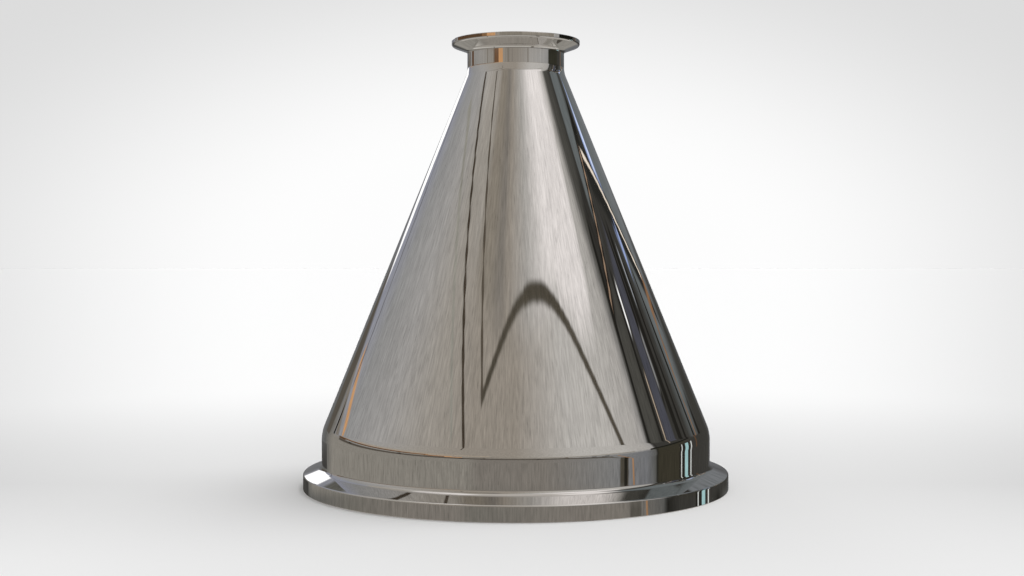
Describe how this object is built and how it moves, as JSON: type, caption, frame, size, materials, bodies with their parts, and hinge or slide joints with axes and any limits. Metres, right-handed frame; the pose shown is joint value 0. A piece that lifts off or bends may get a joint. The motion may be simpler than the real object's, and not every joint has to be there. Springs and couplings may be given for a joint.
{
  "type": "concentric pipe reducer",
  "caption": "Hollow conical pipe reducer in polished stainless steel with a clamp ferrule at the small end and a larger one at the wide end.",
  "frame": {"origin": "centre of the large ferrule's face, where the fitting stands", "axes": "+Z along the bore, from the large ferrule to the small one"},
  "size_m": [0.1668, 0.1668, 0.175],
  "materials": {
    "polished_steel": "polished"
  },
  "bodies": {
    "root": {"concentric_reducer": "polished_steel"}
  },
  "joints": []
}
